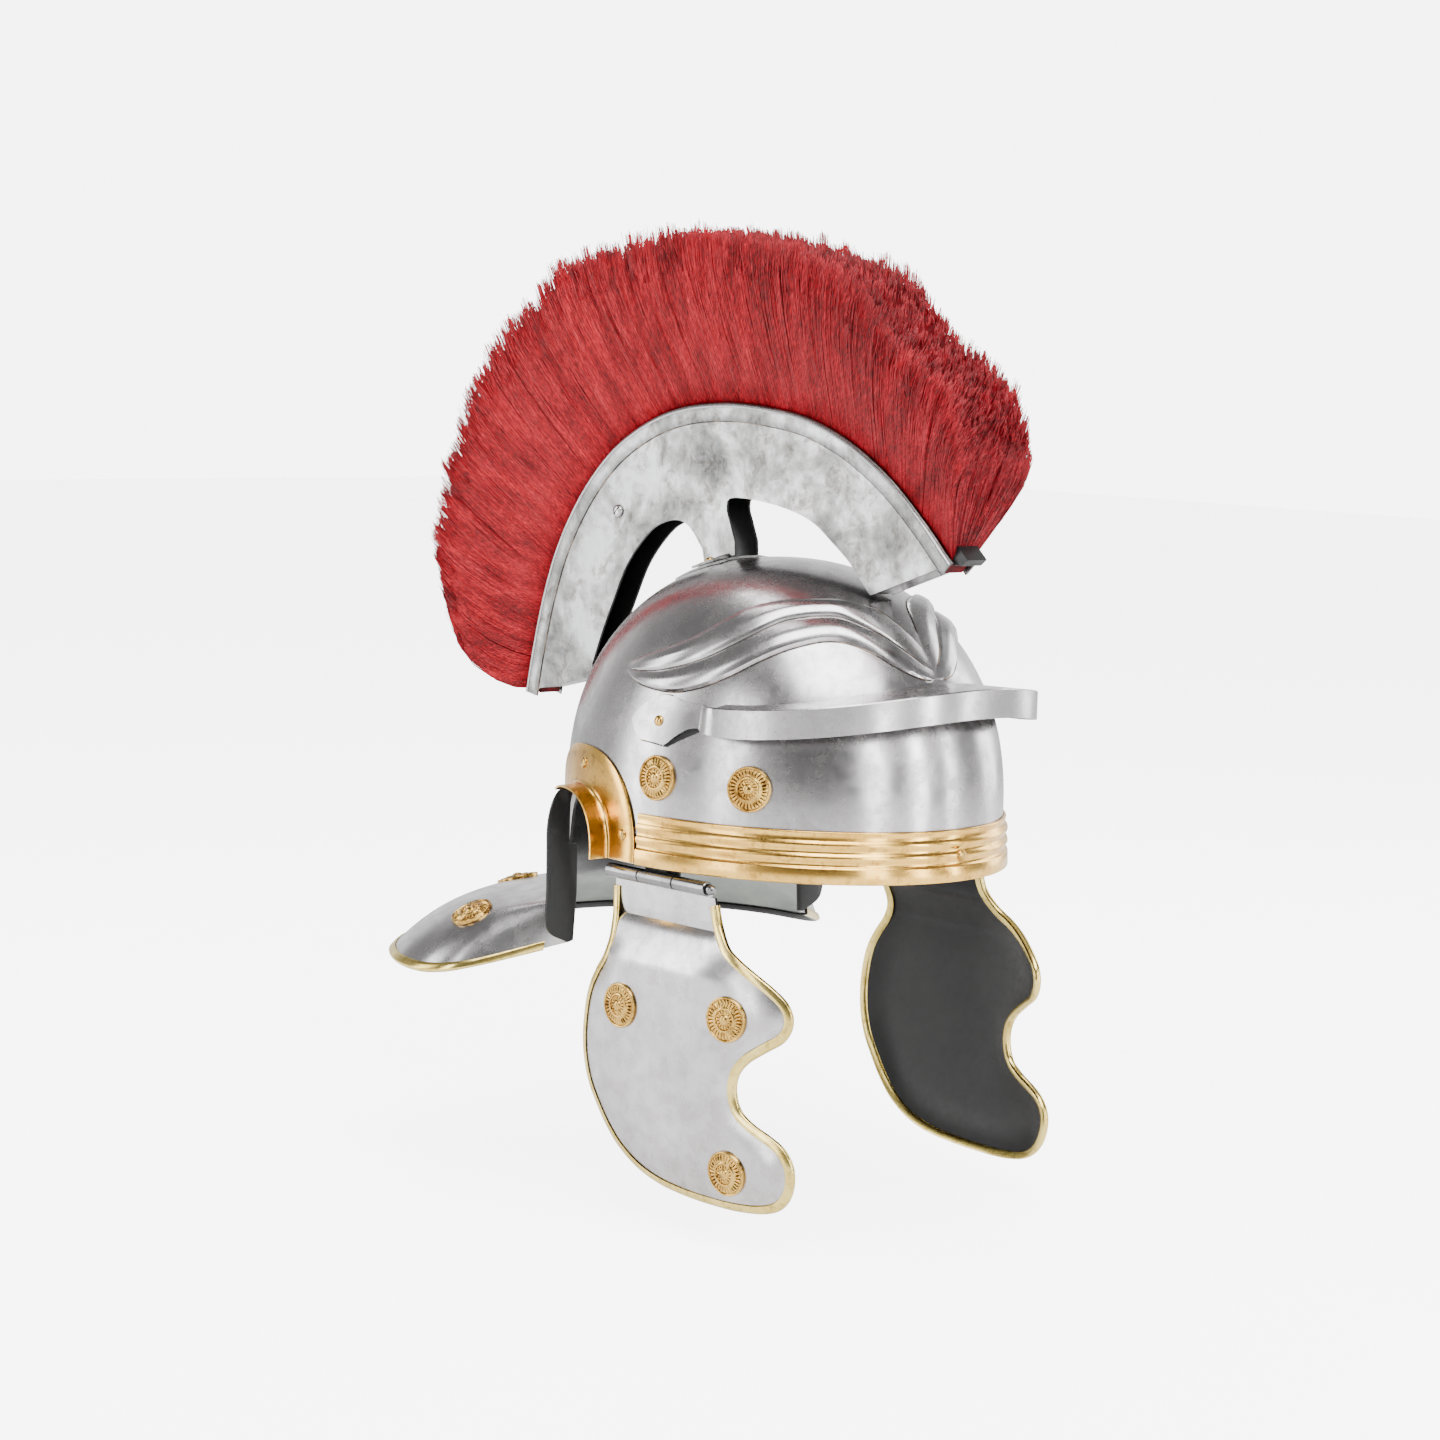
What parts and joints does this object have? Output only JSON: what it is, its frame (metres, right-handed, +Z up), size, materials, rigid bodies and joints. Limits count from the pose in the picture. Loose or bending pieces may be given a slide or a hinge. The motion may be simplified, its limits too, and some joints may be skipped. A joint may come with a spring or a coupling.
{
  "type": "roman legionary helmet",
  "caption": "Roman soldier's helmet: steel bowl with embossed brows, brow guard, neck guard, hinged cheek pieces and a fore-and-aft crest of red hair.",
  "frame": {"origin": "centre of the bowl's rim plane, at the open mouth that the head goes into", "axes": "-Y is the front, +X is the wearer's left, +Z is up towards the crest"},
  "size_m": [0.262, 0.3833, 0.4457],
  "materials": {
    "polished_steel": "polished by hand, with fine scratches, stains and small pits",
    "dull_steel": "dull grey sheet, faintly spangled",
    "brass": "polished, lightly tarnished",
    "red_hair": "dyed red hair with a soft gloss"
  },
  "bodies": {
    "helmet": {"skull_bowl": "polished_steel", "neck_guard": "polished_steel", "neck_trim": "brass", "brow_guard": "polished_steel", "rim_band": "brass", "crest_box": "dull_steel", "crest_seat": "dull_steel", "crest_hair": "red_hair", "band_rivet": "brass", "ear_guard_right": "brass", "hinge_leaf_right": "polished_steel", "hinge_pin_right": "polished_steel", "crest_screw_right": "polished_steel", "foot_rivet_right": "brass", "brow_rivet_right": "brass", "ear_rivet_right_1": "brass", "ear_rivet_right_2": "brass", "ear_rivet_right_3": "brass", "bowl_rosette_right_1": "brass", "bowl_rosette_right_2": "brass", "neck_rosette_right_1": "brass", "neck_rosette_right_2": "brass", "ear_guard_left": "brass", "hinge_leaf_left": "polished_steel", "hinge_pin_left": "polished_steel", "crest_screw_left": "polished_steel", "foot_rivet_left": "brass", "brow_rivet_left": "brass", "ear_rivet_left_1": "brass", "ear_rivet_left_2": "brass", "ear_rivet_left_3": "brass", "bowl_rosette_left_1": "brass", "bowl_rosette_left_2": "brass", "neck_rosette_left_1": "brass", "neck_rosette_left_2": "brass"},
    "cheek_right": {"cheek_piece_right": "polished_steel", "cheek_trim_right": "brass", "cheek_rosette_right_1": "brass", "cheek_rosette_right_2": "brass", "cheek_rosette_right_3": "brass"},
    "cheek_left": {"cheek_piece_left": "polished_steel", "cheek_trim_left": "brass", "cheek_rosette_left_1": "brass", "cheek_rosette_left_2": "brass", "cheek_rosette_left_3": "brass"}
  },
  "joints": [
    {"name": "cheek_right_hinge", "type": "hinge", "parent": "helmet", "child": "cheek_right", "pos_m": [-0.091, -0.013, -0.0055], "axis": [0, 1, 0], "range_deg": [-25, 95]},
    {"name": "cheek_left_hinge", "type": "hinge", "parent": "helmet", "child": "cheek_left", "pos_m": [0.091, -0.013, -0.0055], "axis": [0, -1, 0], "range_deg": [-25, 95]}
  ]
}
